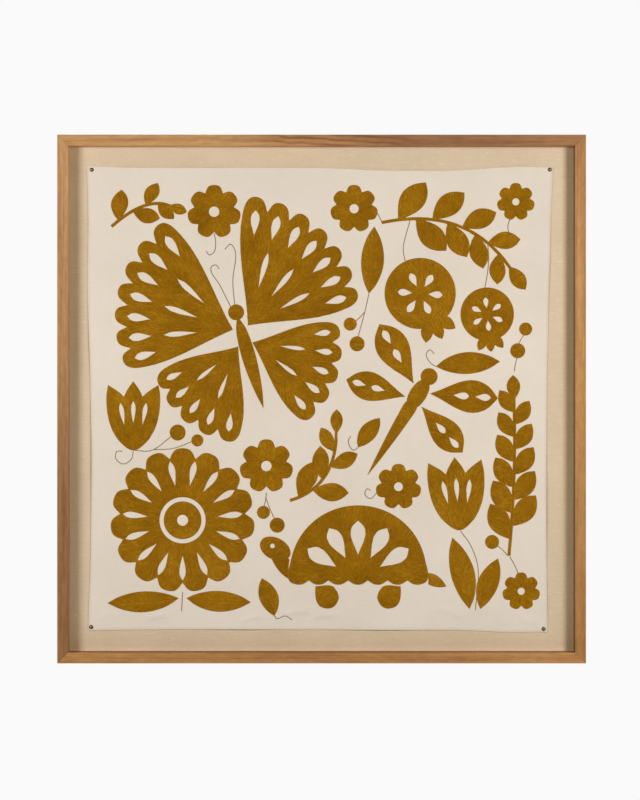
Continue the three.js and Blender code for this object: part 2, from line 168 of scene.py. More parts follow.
cameraPlan = {
    "back": 4.8, "aim": (-0.0032, -0.0020), "sensor": 36,
    "front": -0.040, "tall": 1.6139,  # the frame's front, and the height in view there
}
aimX, aimZ = cameraPlan["aim"]
bpy.ops.object.camera_add(
    location=(aimX, cameraPlan["front"] - cameraPlan["back"], aimZ),
    rotation=(math.radians(90), 0, 0),
)
camera = bpy.context.object
camera.data.sensor_width = cameraPlan["sensor"]
camera.data.lens = cameraPlan["sensor"] * cameraPlan["back"] / cameraPlan["tall"]
scene.camera = camera

lampPlan = {
    "left_lamp": {"at": (-1.897, -1.71, 0.46), "size": (0.81, 0.6), "watts": 41},
    "right_lamp": {"at": (1.555, -1.71, 0.46), "size": (0.61, 0.6), "watts": 35.5},
    "back_lamp": {"at": (0.5, 2.2, 1.6), "size": (1.8, 1.8), "watts": 75},
}
for name, plan in lampPlan.items():
    bpy.ops.object.light_add(type="AREA", location=plan["at"])
    lamp = bpy.context.object
    lamp.name = name
    lamp.data.shape = "RECTANGLE"
    lamp.data.size, lamp.data.size_y = plan["size"]
    lamp.data.energy = plan["watts"]
    lamp.rotation_euler = (-Vector(plan["at"])).to_track_quat("-Z", "Y").to_euler()
    lamp.visible_camera = False

studioPlan = {
    "seen": (250, 250, 250),  # the backdrop
    "fill": (1, 0.99, 0.97, 1), "strength": 0.105,  # the soft light from all round
}
studio = bpy.data.worlds.new("studio")
scene.world = studio
studio.use_nodes = True
tree = studio.node_tree
tree.nodes.clear()
seen = newNode(tree, "Background", {"Color": paint(*studioPlan["seen"]), "Strength": 1})
fill = newNode(tree, "Background", {"Color": studioPlan["fill"], "Strength": studioPlan["strength"]})
rays = newNode(tree, "LightPath")
choice = newNode(tree, "MixShader")
out = newNode(tree, "OutputWorld")
tree.links.new(rays.outputs["Is Camera Ray"], choice.inputs[0])
tree.links.new(fill.outputs["Background"], choice.inputs[1])
tree.links.new(seen.outputs["Background"], choice.inputs[2])
tree.links.new(choice.outputs["Shader"], out.inputs["Surface"])

floorPlan = {
    "sides": 96, "radius": 2.2, "level": -1.45,
    "shader": {"Base Color": paint(238, 237, 234), "Roughness": 0.9},
}
bpy.ops.mesh.primitive_circle_add(
    vertices=floorPlan["sides"], radius=floorPlan["radius"], fill_type="NGON",
    location=(0, 0, floorPlan["level"]),
)
floor = bpy.context.object
floor.name = "studio_floor"
bpy.ops.object.transform_apply(location=True, rotation=True, scale=True)
floor.data.materials.append(newMaterial("floor", floorPlan["shader"])[0])

# wood: the rails and the board
print("wood and board")
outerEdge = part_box("frame_top")[1].z  # from the middle to the frame's outside
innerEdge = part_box("frame_top")[0].z  # from the middle to the rails' inner walls
woodPlan = {
    "shader": {"Roughness": 0.5, "Specular IOR Level": 0.18},
    "seam": (0.05 * mm, 0.5 * mm),  # the painted light and shade of the inner walls gives way to the face's colour here
    "pores": {"noise": (14, 800, 2), "strength": 0.25, "depth": 0.4 * mm},
    "figure": {
        "pitch": 11 * mm, "wobble": 5, "fadeIn": 0.06, "fadeOut": 0.1,
        "stops": [(0.4, white), (0.92, (0.72, 0.62, 0.56, 1))],
    },
}
grainLayers = {  # share, then the noise's scale along and across, detail and twist, then its tones
    "broad": (0.9, (2.2, 95, 5, 0.6), [(0.28, (0.70, 0.66, 0.62, 1)), (0.5, white)]),
    "mottle": (0.6, (42, 150, 2, 0.4), [(0.4, (1.1, 1.12, 1.12, 1)), (0.6, (0.91, 0.87, 0.84, 1))]),
    "streak": (0.6, (5, 260, 4, 0.3), [(0.36, (0.78, 0.72, 0.68, 1)), (0.56, white)]),
    "flush": (0.7, (11, 48, 3, 0), [(0.46, white), (0.66, (0.93, 0.85, 0.82, 1))]),
    "fine": (0.75, (9, 620, 3, 0), [(0.3, (0.80, 0.77, 0.74, 1)), (0.55, white)]),
}
railPlan = {  # tones run from one end of a rail to the other
    # each rail's inner walls take painted light on the left and top, painted shade on the right and bottom
    "frame_top": {
        "run": "X", "slant": -0.05, "wall": (1.4, 1.48, 1.6),
        "figure": {"slope": -0.075, "from": 0.36, "to": 0.70},
        "tones": [(0, (188, 142, 92)), (0.3, (195, 150, 99)), (0.52, (177, 131, 85)),
                  (0.64, (149, 105, 68)), (0.85, (149, 105, 68)), (1, (162, 116, 74))],
    },
    "frame_bottom": {
        "run": "X", "slant": 0.015, "wall": (0.5, 0.46, 0.4),
        "tones": [(0, (179, 130, 77)), (0.5, (173, 125, 73)), (1, (183, 133, 81))],
    },
    "frame_left": {
        "run": "Z", "slant": -0.03, "wall": (1.24, 1.42, 1.65),
        "tones": [(0, (149, 107, 68)), (0.35, (155, 114, 74)), (0.7, (179, 136, 89)), (1, (193, 149, 100))],
    },
    "frame_right": {
        "run": "Z", "slant": 0.02, "wall": (0.5, 0.46, 0.42),
        "tones": [(0, (167, 119, 69)), (0.4, (179, 131, 77)), (0.75, (186, 138, 83)),
                  (0.93, (180, 131, 80)), (1, (164, 116, 73))],
    },
}
boardPlan = {
    "run": "X", "slant": 0.01,
    "tones": [(0, (196, 164, 122)), (0.5, (203, 172, 130)), (1, (192, 160, 118))],
}


def woodMaterial(name, plan):
    mat, tree, shader = newMaterial(name, woodPlan["shader"])
    along = plan["run"] == "X"
    spot = objectSpot(tree)
    axes = splitAxes(tree, spot)
    run = newRange(tree, axes[plan["run"]], -outerEdge, outerEdge)

    def grain(length, across, detail, twist=0):
        stretch = (length, across, across) if along else (across, across, length)
        return newNoise(tree, spot, stretch, detail, (0, plan["slant"], 0), twist)

    color = newRamp(tree, run, [(p, paint(*c)) for p, c in plan["tones"]])
    for share, noise, stops in grainLayers.values():
        color = shadeBy(tree, color, share, grain(*noise), stops)
    if "figure" in plan:  # slanting dark streaks where the grain runs out
        figure = {**woodPlan["figure"], **plan["figure"]}
        tilt = newNode(tree, "Mapping", {"Rotation": (0, figure["slope"], 0)})
        tree.links.new(spot, tilt.inputs["Vector"])
        streaks = newBands(tree, tilt.outputs["Vector"], "Z", figure["pitch"], figure["wobble"])
        low, high = figure["from"], figure["to"]
        zone = newRamp(tree, run, [
            (low, black), (low + figure["fadeIn"], white), (high - figure["fadeOut"], white), (high, black)])
        color = shadeBy(tree, color, zone, streaks, figure["stops"])
    if "wall" in plan:  # painted light and shade on the box's inner walls: lighter on the left and top, darker on the right and bottom
        away = newMath(tree, "ABSOLUTE", axes["Z" if along else "X"])
        face = newRange(tree, away, *(innerEdge + step for step in woodPlan["seam"]))
        color = shadeBy(tree, color, 1.0, face, [(0, plan["wall"] + (1,)), (1, white)])
    tree.links.new(color, shader.inputs["Base Color"])
    pores = woodPlan["pores"]
    addBump(tree, shader, grain(*pores["noise"]), pores["strength"], pores["depth"])
    return mat


def dress(node, mat):
    node.data.materials.clear()
    node.data.materials.append(mat)


for name, plan in railPlan.items():
    dress(nodes[name], woodMaterial(name + "_wood", plan))
dress(nodes["backing_board"], woodMaterial("backing_ply", boardPlan))

# thin glue lines in the four mitres
print("glue lines")
gluePlan = {
    "thin": 0.36 * mm, "short": 3 * mm, "front": -38.9 * mm, "back": -0.8 * mm,
    "shader": {"Base Color": paint(142, 101, 64), "Roughness": 0.6},
}
glueMiddle = (innerEdge + outerEdge) / 2
glueLong = (outerEdge - innerEdge) * math.sqrt(2) - gluePlan["short"]
bpy.ops.object.select_all(action="DESELECT")
joints = []
for sx, sz in ((1, 1), (1, -1), (-1, 1), (-1, -1)):
    bpy.ops.mesh.primitive_cube_add(
        size=1, location=(sx * glueMiddle, (gluePlan["front"] + gluePlan["back"]) / 2, sz * glueMiddle),
        rotation=(0, -sx * sz * math.radians(45), 0),
    )
    joint = bpy.context.object
    joint.scale = (glueLong, gluePlan["back"] - gluePlan["front"], gluePlan["thin"])
    bpy.ops.object.transform_apply(location=True, rotation=True, scale=True)
    joints.append(joint)
for joint in joints:
    joint.select_set(True)
bpy.ops.object.join()
glue = bpy.context.object
glue.name = "mitre_glue"
glue.data.materials.append(newMaterial("glue_line", gluePlan["shader"])[0])
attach(glue, "root")


# outlines of the stitched fields and of the cloth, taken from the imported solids
def frontLoops(node):  # rings of (x, z, y), the widest first
    mesh = node.data
    where = np.empty(len(mesh.vertices) * 3)
    mesh.vertices.foreach_get("co", where)
    where = where.reshape(-1, 3)
    key = [tuple(k) for k in np.round(where * 1e5).astype(int).tolist()]  # merges to 0.01 mm
    place = dict(zip(key, where))
    sides = set()
    for face in mesh.polygons:
        if face.normal.y < -0.8:  # faces the front
            ring = [key[v] for v in face.vertices]
            sides.update(zip(ring, ring[1:] + ring[:1]))
    after = {a: b for a, b in sides if (b, a) not in sides}
    loops = []
    while after:
        start, here = after.popitem()
        loop = [start]
        while here != start:
            loop.append(here)
            here = after.pop(here)
        points = np.array([place[k] for k in loop])
        loops.append(points[:, [0, 2, 1]])
    return sorted(loops, key=lambda p: -np.ptp(p[:, 0]))


def enclosed(loop):  # area, above zero where the loop runs anticlockwise
    after = np.roll(loop, -1, 0)
    return 0.5 * np.sum(loop[:, 0] * after[:, 1] - after[:, 0] * loop[:, 1])


softPlan = {"spacing": 2.2 * mm, "outCorner": 72, "inCorner": -34}  # turns in degrees that stay sharp


def softened(loop):  # a smooth curve through the points, with its sharp corners kept
    loop = loop[:, :2]
    ahead = np.roll(loop, -1, 0) - loop
    behind = np.roll(ahead, 1, 0)
    side = np.sign(enclosed(loop))
    turn = side * np.degrees(np.arctan2(
        behind[:, 0] * ahead[:, 1] - behind[:, 1] * ahead[:, 0], np.sum(behind * ahead, 1)))
    sharp = (turn > softPlan["outCorner"]) | (turn < softPlan["inCorner"])
    flow = behind / np.linalg.norm(behind, axis=1)[:, None] + ahead / np.linalg.norm(ahead, axis=1)[:, None]
    flow /= np.linalg.norm(flow, axis=1)[:, None] + tiny
    points = []
    for i in range(len(loop)):
        j = (i + 1) % len(loop)
        span = np.linalg.norm(ahead[i])
        leave = ahead[i] if sharp[i] else flow[i] * span
        reach = ahead[i] if sharp[j] else flow[j] * span
        count = max(1, math.ceil(span / softPlan["spacing"]))
        f = (np.arange(count) / count)[:, None]
        points.append(
            (2 * f**3 - 3 * f**2 + 1) * loop[i] + (f**3 - 2 * f**2 + f) * leave
            + (3 * f**2 - 2 * f**3) * loop[j] + (f**3 - f**2) * reach)
    return np.concatenate(points)


# the cloth's surface: its raw edges, ripples and soft creases
print("cloth")
clothPlan = {
    "solid": -13.0 * mm, "front": -12.5 * mm, "thick": 0.7 * mm, "cells": 208, "reach": 46 * mm,
    "hem": 14 * mm, "flutter": 0.1 * mm, "ripple": 0.16 * mm,
    "bow": 3 * mm, "bend": 4, "fade": 0.45,  # a crease is a soft S, and fades out at its ends
    "slopes": (0.65, 1.5),  # and is steeper on its lower side
    "creases": [  # from, to (mm from the middle), height mm, half width mm
        ((-164, -452), (-108, -440), 2.0, 6), ((-78, -440), (-20, -430), 2.3, 6),
        ((-24, -446), (38, -436), 2.0, 6), ((232, -424), (292, -446), 1.7, 6),
        ((-358, -450), (-312, -438), 1.9, 6), ((-454, 448), (-424, 428), 0.6, 6),
        ((450, 452), (428, 436), 0.5, 6), ((-454, -450), (-414, -432), 0.9, 7),
        ((440, -452), (392, -436), 0.9, 7), ((-448, -150), (-432, -190), 0.9, 7),
        ((450, -250), (440, -160), 0.6, 7), ((-240, 452), (-170, 440), 0.5, 8),
        ((170, 448), (250, 440), 0.6, 8),
    ],
}
rim = frontLoops(nodes["textile"])[0]
corners = [np.argmin(rim[:, 0] + rim[:, 1]), np.argmax(rim[:, 0] - rim[:, 1]),
           np.argmax(rim[:, 0] + rim[:, 1]), np.argmin(rim[:, 0] - rim[:, 1])]
if enclosed(rim[:, :2]) < 0:
    rim = rim[::-1]
    corners = [len(rim) - 1 - c for c in corners]


def rimSide(begin, end, along):
    count = (end - begin) % len(rim) + 1
    side = rim[(begin + np.arange(count)) % len(rim)]
    return side[np.argsort(side[:, along])]


rimBottom = rimSide(corners[0], corners[1], 0)
rimRight = rimSide(corners[1], corners[2], 1)
rimTop = rimSide(corners[2], corners[3], 0)
rimLeft = rimSide(corners[3], corners[0], 1)
rimLow, rimHigh = rim[:, :2].min(0), rim[:, :2].max(0)


def rimPlaces(x, z):
    return (np.interp(z, rimLeft[:, 1], rimLeft[:, 0]), np.interp(z, rimRight[:, 1], rimRight[:, 0]),
            np.interp(x, rimBottom[:, 0], rimBottom[:, 1]), np.interp(x, rimTop[:, 0], rimTop[:, 1]))


# in the waves that follow, the large numbers are radians to the metre
def edgeLift(x, z):  # the edges stand off the linen, and flutter a little
    left, right, bottom, top = rimPlaces(x, z)
    lift = np.zeros_like(x)
    for gap, side, along, phase in ((x - left, rimLeft, z, 0.3), (right - x, rimRight, z, 1.7),
                                    (z - bottom, rimBottom, x, 2.9), (top - z, rimTop, x, 4.1)):
        axis = 1 if along is z else 0
        rise = clothPlan["solid"] - np.interp(along, side[:, axis], side[:, 2])
        fade = np.clip(1 - gap / clothPlan["reach"], 0, 1)
        lift += np.maximum(rise, 0) * fade**2 * (3 - 2 * fade)
        hem = np.clip(1 - gap / clothPlan["hem"], 0, 1) ** 2
        flutter = np.sin(along * 148 + phase) * np.sin(along * 61 + phase * 2)
        flutter += 0.5 * np.sin(along * 310 + phase)
        lift += hem * clothPlan["flutter"] * (1 + flutter)
    return lift


def clothLift(x, z):
    lift = edgeLift(x, z)
    for a, b, high, wide in clothPlan["creases"]:
        a, b = np.array(a) * mm, np.array(b) * mm
        length = np.linalg.norm(b - a)
        way = (b - a) / length
        s = (x - a[0]) * way[0] + (z - a[1]) * way[1]
        off = (z - a[1]) * way[0] - (x - a[0]) * way[1]
        off = off - clothPlan["bow"] * np.sin(s / length * clothPlan["bend"])
        ends = np.exp(-(((s - length / 2) / (clothPlan["fade"] * length)) ** 4))
        wide = np.where(off < 0, *clothPlan["slopes"]) * wide * mm
        lift += high * mm * ends * np.exp(-((off / wide) ** 2))
    ripple = np.sin(x * 31 + 1.2 * np.sin(z * 17)) * np.sin(z * 27 + 0.8 * np.sin(x * 21))
    return lift + clothPlan["ripple"] * (1 + ripple)


def clothFront(x, z):
    return clothPlan["front"] - clothLift(x, z)


def gridSheet(name, cells, shape, thick, smooth=60):
    bpy.ops.mesh.primitive_grid_add(x_subdivisions=cells, y_subdivisions=cells, size=2)
    piece = bpy.context.object
    piece.name = name
    flat = np.empty(len(piece.data.vertices) * 3)
    piece.data.vertices.foreach_get("co", flat)
    flat = flat.reshape(-1, 3)
    piece.data.vertices.foreach_set("co", shape(flat[:, 0], flat[:, 1]).ravel())
    piece.data.update()
    solid = piece.modifiers.new("thickness", "SOLIDIFY")
    solid.thickness = thick
    solid.offset = -1
    bpy.ops.object.modifier_apply(modifier="thickness")
    bpy.ops.object.shade_smooth_by_angle(angle=math.radians(smooth))
    return piece


def clothShape(u, v):
    x = u * (rimHigh[0] - rimLow[0]) / 2 + (rimHigh[0] + rimLow[0]) / 2
    z = v * (rimHigh[1] - rimLow[1]) / 2 + (rimHigh[1] + rimLow[1]) / 2
    left, right, bottom, top = rimPlaces(x, z)
    x = left + (right - left) * (u + 1) / 2
    z = bottom + (top - bottom) * (v + 1) / 2
    return np.stack([x, clothFront(x, z), z], 1)


cottonPlan = {
    "shader": {"Roughness": 0.92, "Sheen Weight": 0.12, "Sheen Roughness": 0.5, "Specular IOR Level": 0.15},
    "cloud": (6, 6, 6), "tones": [(0.3, paint(217, 204, 188)), (0.7, paint(222, 210, 195))],
    "weft": (0.5, (60, 900, 1500), [(0.3, (0.93, 0.92, 0.90, 1)), (0.6, white)]),
    "warp": (0.4, (1500, 900, 60), [(0.3, (0.94, 0.93, 0.91, 1)), (0.6, white)]),
    "darkEdges": [(0.988, white), (0.998, (0.93, 0.89, 0.84, 1))],  # darker along the edges, except the upper one
    "dull": [(0.5, white), (0.93, (0.935, 0.935, 0.92, 1))],  # towards the upper right corner
    "weave": {"pitch": 0.62 * mm, "wobble": 1.2, "strength": 0.3, "depth": 0.2 * mm},
}


def cottonMaterial(plan):
    mat, tree, shader = newMaterial("cotton", plan["shader"])
    spot = objectSpot(tree)
    color = newRamp(tree, newNoise(tree, spot, plan["cloud"], 3), plan["tones"])
    for share, stretch, stops in (plan["weft"], plan["warp"]):
        color = shadeBy(tree, color, share, newNoise(tree, spot, stretch, 2), stops)
    sides = ownMap(tree)
    away = newMath(tree, "ABSOLUTE", newRange(tree, sides["X"], 0, 1, -1, 1))
    down = newRange(tree, sides["Y"], 1, 0, -1, 1)
    color = shadeBy(tree, color, 1.0, newMath(tree, "MAXIMUM", away, down), plan["darkEdges"])
    upRight = newNode(tree, "VectorMath", {1: (1, 0, 1)}, operation="DOT_PRODUCT")
    tree.links.new(spot, upRight.inputs[0])
    color = shadeBy(tree, color, 1.0, upRight.outputs["Value"], plan["dull"])
    tree.links.new(color, shader.inputs["Base Color"])
    addWeave(tree, shader, spot, plan["weave"])
    return mat


cloth = gridSheet("embroidered_cotton", clothPlan["cells"], clothShape, clothPlan["thick"])
cloth.data.materials.append(cottonMaterial(cottonPlan))

# the linen it hangs on
print("linen")
linenLow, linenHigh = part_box("linen")
linenPlan = {
    "cells": 60, "ripple": 0.12 * mm,
    "shader": {"Roughness": 0.95, "Specular IOR Level": 0.12, "Sheen Weight": 0.1},
    "cloud": (9, 9, 9), "tones": [(0.3, paint(207, 186, 157)), (0.7, paint(213, 192, 163))],
    "across": (0.4, (38, 500, 640), [(0.3, (0.84, 0.82, 0.78, 1)), (0.55, white)]),
    "upright": (0.25, (640, 500, 38), [(0.3, (0.86, 0.84, 0.80, 1)), (0.55, white)]),
    "slub": {"stretch": (55, 500, 560), "stops": [(0.66, black), (0.74, white)], "color": (226, 206, 178)},
    # painted warm shade in the shadow bands next to the left and right walls
    "paintedWarmShade": {"from": 481.3 * mm, "to": 501.3 * mm, "stops": [(0, white), (1, (0.97, 0.895, 0.76, 1))]},
    # painted bounce light on the linen just above the bottom rail
    "paintedBounceLight": {"from": -466 * mm, "to": -511 * mm, "stops": [
        (0, white), (0.5, (1.045, 1, 0.955, 1)), (0.75, (1.07, 1.025, 1, 1)), (0.95, (1.2, 1.09, 1.05, 1))]},
    "weave": {"pitch": 1.1 * mm, "wobble": 1.6, "strength": 0.5, "depth": 0.4 * mm},
}


def linenMaterial(plan):
    mat, tree, shader = newMaterial("linen", plan["shader"])
    spot = objectSpot(tree)
    color = newRamp(tree, newNoise(tree, spot, plan["cloud"], 3), plan["tones"])
    for share, stretch, stops in (plan["across"], plan["upright"]):
        color = shadeBy(tree, color, share, newNoise(tree, spot, stretch, 3), stops)
    slub = newRamp(tree, newNoise(tree, spot, plan["slub"]["stretch"], 2), plan["slub"]["stops"])
    color = newBlend(tree, "MIX", slub, color, paint(*plan["slub"]["color"]))
    axes = splitAxes(tree, spot)
    away = newMath(tree, "ABSOLUTE", axes["X"])
    for source, part in ((away, plan["paintedWarmShade"]), (axes["Z"], plan["paintedBounceLight"])):  # painted warm shade next to the walls, then painted bounce light above the bottom rail
        color = shadeBy(tree, color, 1.0, newRange(tree, source, part["from"], part["to"]), part["stops"])
    tree.links.new(color, shader.inputs["Base Color"])
    addWeave(tree, shader, spot, plan["weave"])
    return mat


def linenShape(u, v):
    x, z = u * linenHigh.x, v * linenHigh.z
    ripple = np.sin(x * 23) * np.sin(z * 19) * (1 - u**8) * (1 - v**8)  # none at the edges
    return np.stack([x, linenLow.y + linenPlan["ripple"] * ripple, z], 1)


linen = gridSheet("linen_ground", linenPlan["cells"], linenShape, linenHigh.y - linenLow.y)
linen.data.materials.append(linenMaterial(linenPlan))

# embroidery: rows of strands laid in each field's own direction
print("embroidery")
threadPlan = {
    "pitch": 1.25 * mm, "longest": 12.5 * mm, "shortest": 1.3 * mm, "width": 1.5 * mm, "high": 0.5 * mm,
    "start": 0.4, "stagger": 0.382, "margin": 0.3,  # shares of the pitch and of the longest strand
    "ragged": 0.6 * mm, "inset": 0.35 * mm, "lap": 0.12 * mm, "drift": 0.09 * mm,
    "shader": {"Roughness": 0.8, "Specular IOR Level": 0.06},
    # colours from dark to light, then a strand's rings (along, width, height) and its section
    "colors": [(126, 85, 4), (138, 94, 6), (148, 102, 8), (157, 108, 10), (166, 116, 14), (178, 128, 24)],
    "rings": [(0.0, 0.0, -0.5), (0.14, 1.0, 0.55), (0.5, 1.0, 1.0), (0.86, 1.0, 0.55), (1.0, 0.0, -0.5)],
    "section": [(-0.5, -0.3), (0.5, -0.3), (0, 0.55)],
}
threadMats = [
    newMaterial("ochre_thread_%d" % i, {"Base Color": paint(*c), **threadPlan["shader"]})[0]
    for i, c in enumerate(threadPlan["colors"])
]


def strands(start, end, width, high):  # eleven points each: a tip, three rings of three, a tip
    count = len(start)
    way = end - start
    way = way / np.linalg.norm(way, axis=1)[:, None]
    flat = np.stack([-way[:, 1], way[:, 0]], 1)
    rings = []
    for f, wide, rise in threadPlan["rings"]:
        mid = start + (end - start) * f
        face = clothFront(mid[:, 0], mid[:, 1]) - rise * high
        for side, up in ([(0, 0)] if wide == 0 else threadPlan["section"]):
            spread = mid + flat * (side * width * wide)
            rings.append(np.stack([spread[:, 0], face - up * high, spread[:, 1]], 1))
    verts = np.stack(rings, 1).reshape(-1, 3)
    faces = []
    for k in range(3):
        n = (k + 1) % 3
        faces.append((0, 1 + n, 1 + k))
        faces.append((1 + k, 1 + n, 4 + n, 4 + k))
        faces.append((4 + k, 4 + n, 7 + n, 7 + k))
        faces.append((7 + k, 7 + n, 10))
    return verts, [tuple(v + len(rings) * i for v in face) for i in range(count) for face in faces]


def rowRange(way, row, limits):  # how far a row may run before it leaves its section
    far = 9.0  # metres, past every edge
    low, high = -far, far
    for point, inward in limits:
        slope = float(way @ inward)
        need = float((point - row) @ inward)
        if abs(slope) < 1e-6:  # the row runs along the limit
            high = high if need <= 0 else -far
        elif slope > 0:
            low = max(low, need / slope)
        else:
            high = min(high, need / slope)
    return low, high


def layRows(loops, angle, limits):
    pitch, longest, inset, lap = (threadPlan[k] for k in ("pitch", "longest", "inset", "lap"))
    along = np.array([math.cos(angle), math.sin(angle)])
    across = np.array([-along[1], along[0]])
    a = np.concatenate(loops)
    b = np.concatenate([np.roll(p, -1, 0) for p in loops])
    sa, ta, sb, tb = a @ along, a @ across, b @ along, b @ across
    begin, end = [], []
    for row, t in enumerate(np.arange(ta.min() + threadPlan["start"] * pitch, ta.max(), pitch)):
        low, high = rowRange(along, t * across, limits)
        hit = (ta <= t) != (tb <= t)
        s = np.sort(sa[hit] + (t - ta[hit]) / (tb[hit] - ta[hit]) * (sb[hit] - sa[hit]))
        for first, last in zip(s[::2], s[1::2]):
            first, last = max(first, low), min(last, high)
            if last - first < threadPlan["shortest"]:
                continue
            shift = (row * threadPlan["stagger"] % 1) * longest
            steps = np.arange(math.ceil((first - shift) / longest), math.floor((last - shift) / longest) + 1)
            cuts = shift + steps * longest
            margin = threadPlan["margin"] * longest
            cuts = cuts[(cuts > first + margin) & (cuts < last - margin)]
            cuts = cuts + rng.normal(0, threadPlan["ragged"], 1)
            marks = np.concatenate([[first + inset], cuts, [last - inset]])
            for p, q in zip(marks[:-1], marks[1:]):
                begin.append((p - lap) * along + (t + rng.normal(0, threadPlan["drift"])) * across)
                end.append((q + lap) * along + (t + rng.normal(0, threadPlan["drift"])) * across)
    return np.array(begin).reshape(-1, 2), np.array(end).reshape(-1, 2)


def inwardWay(loop):
    ahead = np.roll(loop, -1, 0) - np.roll(loop, 1, 0)
    ahead /= np.linalg.norm(ahead, axis=1)[:, None] + tiny
    return np.stack([-ahead[:, 1], ahead[:, 0]], 1)


padPlan = {"inset": 0.5 * mm, "rise": 0.3 * mm, "thick": 0.55 * mm, "shade": 1}  # shade: which colour; darker than the strands, it is painted shade in the gaps between them


def underlay(loops):  # a closed pad under the strands, so that no cloth shows between them
    bm = bmesh.new()
    for loop in loops:
        ring = loop + inwardWay(loop) * padPlan["inset"]
        dots = [bm.verts.new((x, 0, z)) for x, z in ring]
        for p, q in zip(dots, dots[1:] + dots[:1]):
            bm.edges.new((p, q))
    bmesh.ops.triangle_fill(bm, use_beauty=True, edges=bm.edges[:])
    bmesh.ops.recalc_face_normals(bm, faces=bm.faces[:])
    if sum(f.normal.y for f in bm.faces) > 0:
        bmesh.ops.reverse_faces(bm, faces=bm.faces[:])
    bm.verts.index_update()
    flat = np.array([(v.co.x, v.co.z) for v in bm.verts])
    tris = [tuple(v.index for v in f.verts) for f in bm.faces]
    outside = [c for f in bm.faces for c in f.loops if len(c.edge.link_faces) == 1]
    rims = [(c.vert.index, c.link_loop_next.vert.index) for c in outside]
    bm.free()
    total = len(flat)
    top = np.stack([flat[:, 0], clothFront(flat[:, 0], flat[:, 1]) - padPlan["rise"], flat[:, 1]], 1)
    low = top + [0, padPlan["thick"], 0]
    faces = tris + [tuple(v + total for v in reversed(t)) for t in tris]
    faces += [(q, p, p + total, q + total) for p, q in rims]
    return np.concatenate([top, low]), faces


edgePlan = {"inset": 0.45 * mm, "section": [(-0.5, 0.1), (0.5, 0.1), (0, 1.3)], "shade": 3}


def edging(loops, width, high):  # one couched strand along each outline
    verts, faces = [], []
    first = 0
    for loop in loops:
        inward = inwardWay(loop)
        mid = loop + inward * edgePlan["inset"]
        face = clothFront(mid[:, 0], mid[:, 1])
        ring = []
        for side, up in edgePlan["section"]:
            spread = mid + inward * side * width
            ring.append(np.stack([spread[:, 0], face - up * high, spread[:, 1]], 1))
        count = len(loop)
        verts.append(np.concatenate(ring))
        for i in range(count):
            j = (i + 1) % count
            for k in range(3):
                here, there = first + k * count, first + (k + 1) % 3 * count
                faces.append((here + i, there + i, there + j, here + j))
        first += 3 * count
    return np.concatenate(verts), faces


def halfPlane(point, angle):  # the side of a line that the angle points to
    return np.array(point), np.array([math.cos(angle), math.sin(angle)])


def fanSections(apex, count, low, high):
    sections = []
    for k in range(count):
        a, b = low + (high - low) * k / count, low + (high - low) * (k + 1) / count
        limits = [halfPlane(apex, a + math.pi / 2), halfPlane(apex, b - math.pi / 2)]
        sections.append(((a + b) / 2, limits))
    return sections


def spraySections(stem, count, splay):
    p0, p1, p2 = (np.array(p) * mm for p in stem)
    f = np.linspace(0, 1, count + 1)[:, None]
    spots = (1 - f) ** 2 * p0 + 2 * f * (1 - f) * p1 + f**2 * p2
    flow = (1 - f) * (p1 - p0) + f * (p2 - p1)
    turns = np.arctan2(flow[:, 1], flow[:, 0])
    sections = []
    for k in range(count):
        a, b = spots[k], spots[k + 1]
        way = math.atan2(b[1] - a[1], b[0] - a[0])
        for side in (1, -1):
            limits = [halfPlane(a, way + side * math.pi / 2)]
            if k > 0:
                limits.append(halfPlane(a, turns[k]))
            if k < count - 1:
                limits.append(halfPlane(b, turns[k + 1] + math.pi))
            sections.append((way + side * math.radians(splay), limits))
    return sections


def midpoint(name):
    low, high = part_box(name)
    return np.array([(low.x + high.x) / 2, (low.z + high.z) / 2])


def longAxis(loop):
    spread = loop - loop.mean(0)
    way = np.linalg.eigh(spread.T @ spread)[1][:, 1]
    return math.atan2(way[1], way[0])


fieldPlan = {  # how each kind of field is stitched: stems in mm, splays in degrees
    "butterfly_upper": {"lay": "wing", "parts": 7}, "butterfly_lower": {"lay": "wing", "parts": 5},
    "butterfly_body": {"lay": "across"}, "dragonfly_body": {"lay": "across"},
    "dragonfly_fore": {"lay": "leaf", "splay": 30}, "dragonfly_hind": {"lay": "leaf", "splay": 30},
    "sunflower_heart": {"lay": "round", "parts": 5}, "sunflower": {"lay": "round", "parts": 15},
    "floret": {"lay": "round", "parts": 7}, "tortoise_shell": {"lay": "dome", "parts": 7},
    "tortoise": {"lay": "across"}, "tulip": {"lay": "dome", "parts": 5},
    "pomegranate": {"lay": "leaf", "splay": 24}, "leaf": {"lay": "leaf", "splay": 42},
    "berry": {"lay": "across"},
    "bough": {"lay": "spray", "parts": 4, "stem": ((122, 358), (296, 394), (384, 264)), "splay": 84},
    "spray_left": {"lay": "spray", "parts": 4, "stem": ((-426, 350), (-356, 412), (-308, 392)), "splay": 84},
    "spray_middle": {"lay": "spray", "parts": 4, "stem": ((-64, -206), (30, -178), (30, -66)), "splay": 80},
    "spray_right": {"lay": "spray", "parts": 4, "stem": ((380, -318), (396, -150), (390, 4)), "splay": 74},
}
wingRoot = 40 * mm  # points nearer than this to a wing's root don't set its spread
domeDrop = 2 * mm  # a dome's rows meet a little below its foot


def wingSections(outer, parts):
    apex = outer[np.argmin(np.linalg.norm(outer - midpoint("butterfly_body"), axis=1))]
    far = outer[np.linalg.norm(outer - apex, axis=1) > wingRoot]
    mean = math.atan2(*(far.mean(0) - apex)[::-1])
    swing = np.arctan2(far[:, 1] - apex[1], far[:, 0] - apex[0]) - mean
    swing = (swing + math.pi) % (2 * math.pi) - math.pi
    sections = fanSections(apex, parts, mean + swing.min(), mean + swing.max())
    sections[0][1].pop(0)
    sections[-1][1].pop(1)
    return sections


